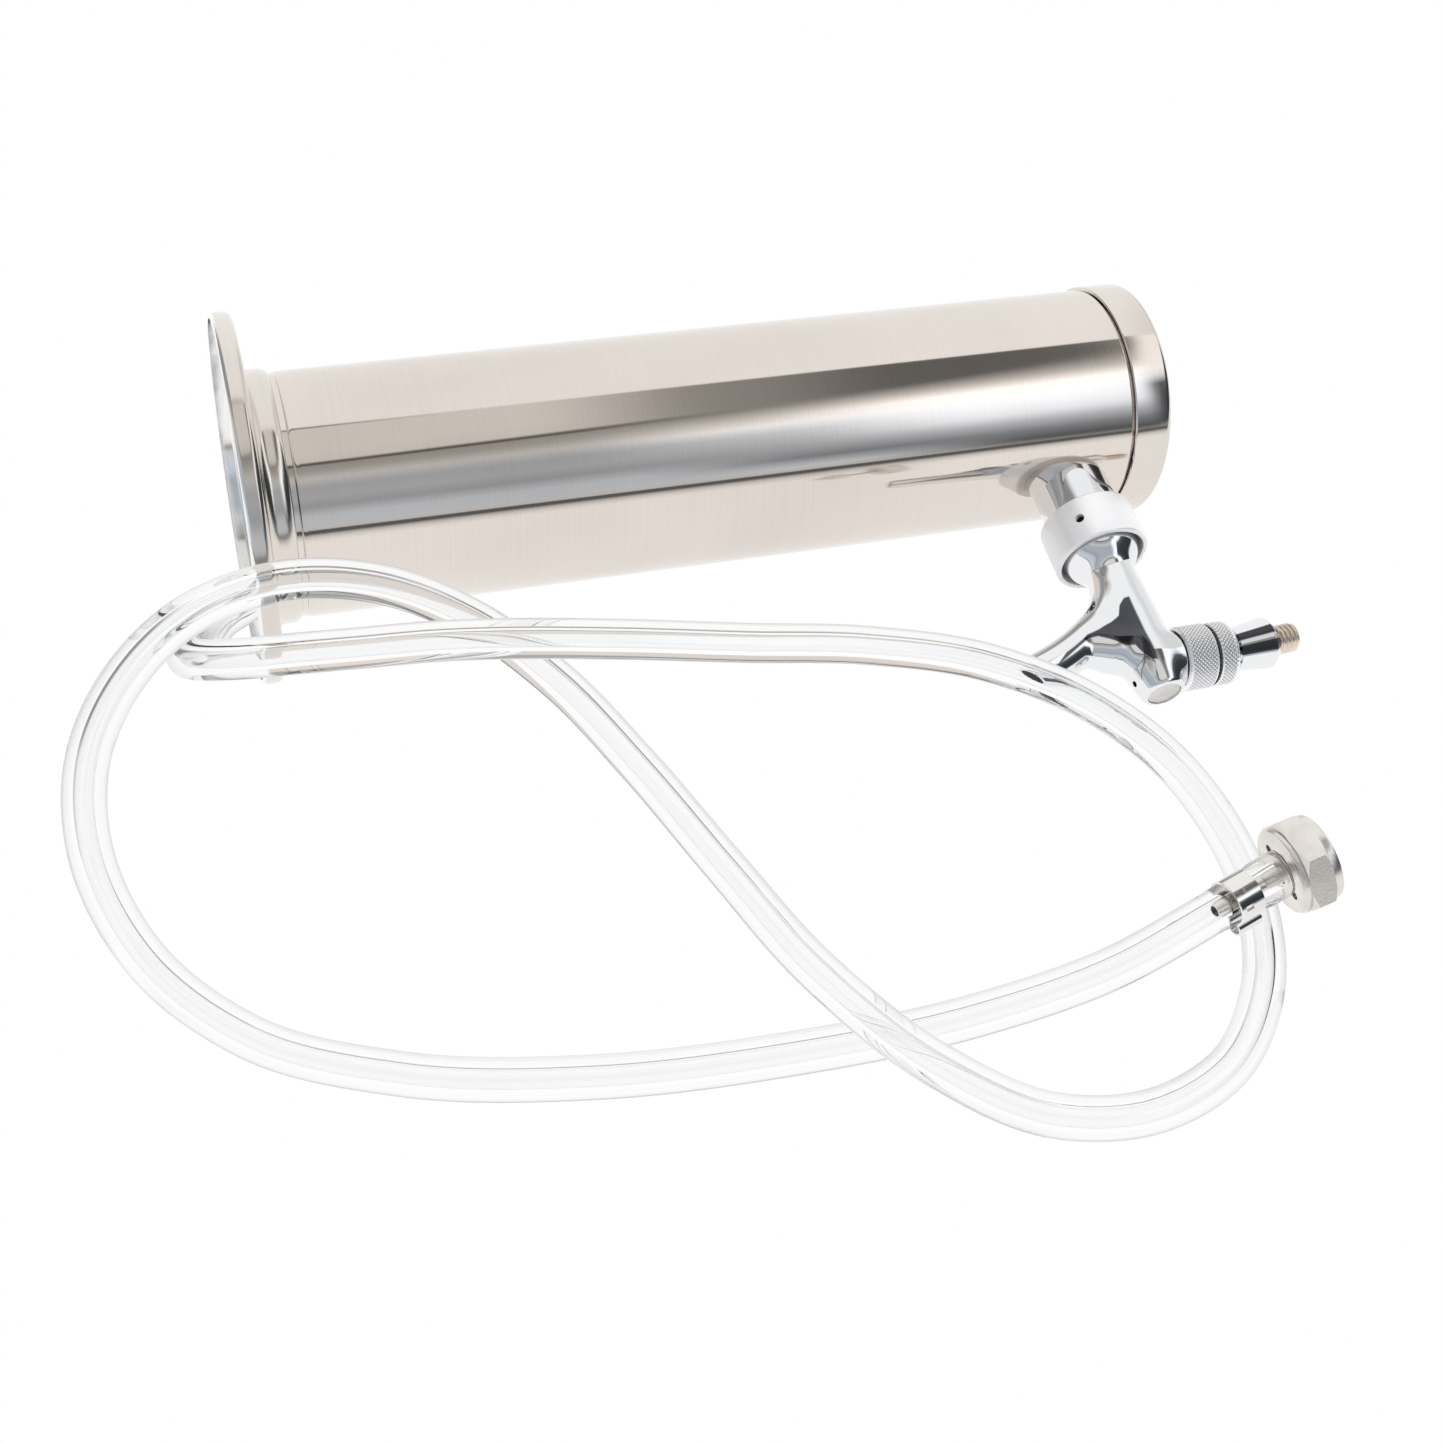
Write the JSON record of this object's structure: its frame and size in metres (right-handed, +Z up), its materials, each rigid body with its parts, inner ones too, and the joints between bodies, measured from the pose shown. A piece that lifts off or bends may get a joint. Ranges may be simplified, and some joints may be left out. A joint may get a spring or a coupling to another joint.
{
  "type": "draft beer tower",
  "caption": "Round steel column lying on its side, with a base flange, a cap, a faucet with a lever stud, and a coiled clear hose that ends in a hex coupling nut.",
  "frame": {"origin": "centre of the object's footprint on the ground, without the free hose", "axes": "+Z up; +X runs along the column's plan direction from the base flange to the cap; -Y is the side the faucet and the hose lie on"},
  "size_m": [0.3776, 0.3222, 0.1143],
  "materials": {
    "brushed": "polished stainless steel with fine rings of brushing",
    "chrome": "mirror chrome",
    "steel": "polished stainless steel",
    "black_rubber": "matte black rubber",
    "grey_plastic": "matte grey nylon",
    "white_plastic": "white slip ring",
    "plug_grey": "matte beige-grey plug",
    "yellow_brass": "turned brass",
    "knurled_nickel": "satin nickel with diamond knurling",
    "nickel": "satin nickel-plated brass",
    "copper_stud": "copper-toned threaded stud",
    "clear_hose": "clear flexible vinyl"
  },
  "bodies": {
    "tower": {"base_flange": "brushed", "column_tube": "brushed", "shank_sleeve": "chrome", "faucet_shank": "chrome", "shank_washer": "grey_plastic", "shank_nut": "yellow_brass", "elbow_tail": "steel", "inner_clamp": "steel", "inner_hose": "clear_hose", "coupling_nut": "chrome", "coupling_gasket": "black_rubber", "faucet_body": "chrome", "front_plug": "plug_grey", "ball_washer": "white_plastic", "lever_bonnet": "knurled_nickel", "bonnet_seal_ring": "black_rubber", "bonnet_collar": "knurled_nickel", "beer_line": "clear_hose", "hose_clamp": "steel", "hose_tailpiece": "nickel", "tailpiece_washer": "black_rubber"},
    "cap": {"top_cap": "brushed", "cap_gasket": "black_rubber"},
    "lever_arm": {"lever": "chrome", "lever_ferrule": "chrome", "handle_stud": "copper_stud"},
    "shaft": {"faucet_shaft": "steel", "seat_washer": "black_rubber"},
    "nut": {"beer_nut": "nickel"}
  },
  "joints": [
    {"name": "lever_pull", "type": "hinge", "parent": "tower", "child": "lever_arm", "pos_m": [0.12979, -0.0739, 0.01047], "axis": [-0.0588, 0.2689, -0.9614], "range_deg": [0, 17]},
    {"name": "shaft_travel", "type": "slide", "parent": "tower", "child": "shaft", "axis": [0.0164, 0.9632, 0.2684], "range_m": [0, 0.0067]},
    {"name": "cap_pull", "type": "slide", "parent": "tower", "child": "cap", "axis": [0.9981, 0, -0.061], "range_m": [0, 0.03]},
    {"name": "nut_spin", "type": "hinge", "parent": "tower", "child": "nut", "pos_m": [0.0973, -0.1745, 0.021], "axis": [0.9779, 0.0856, 0.1908], "continuous": true}
  ],
  "couplings": [
    {"joint": "shaft_travel", "follows": "lever_pull", "m_per_rad": 0.022}
  ]
}
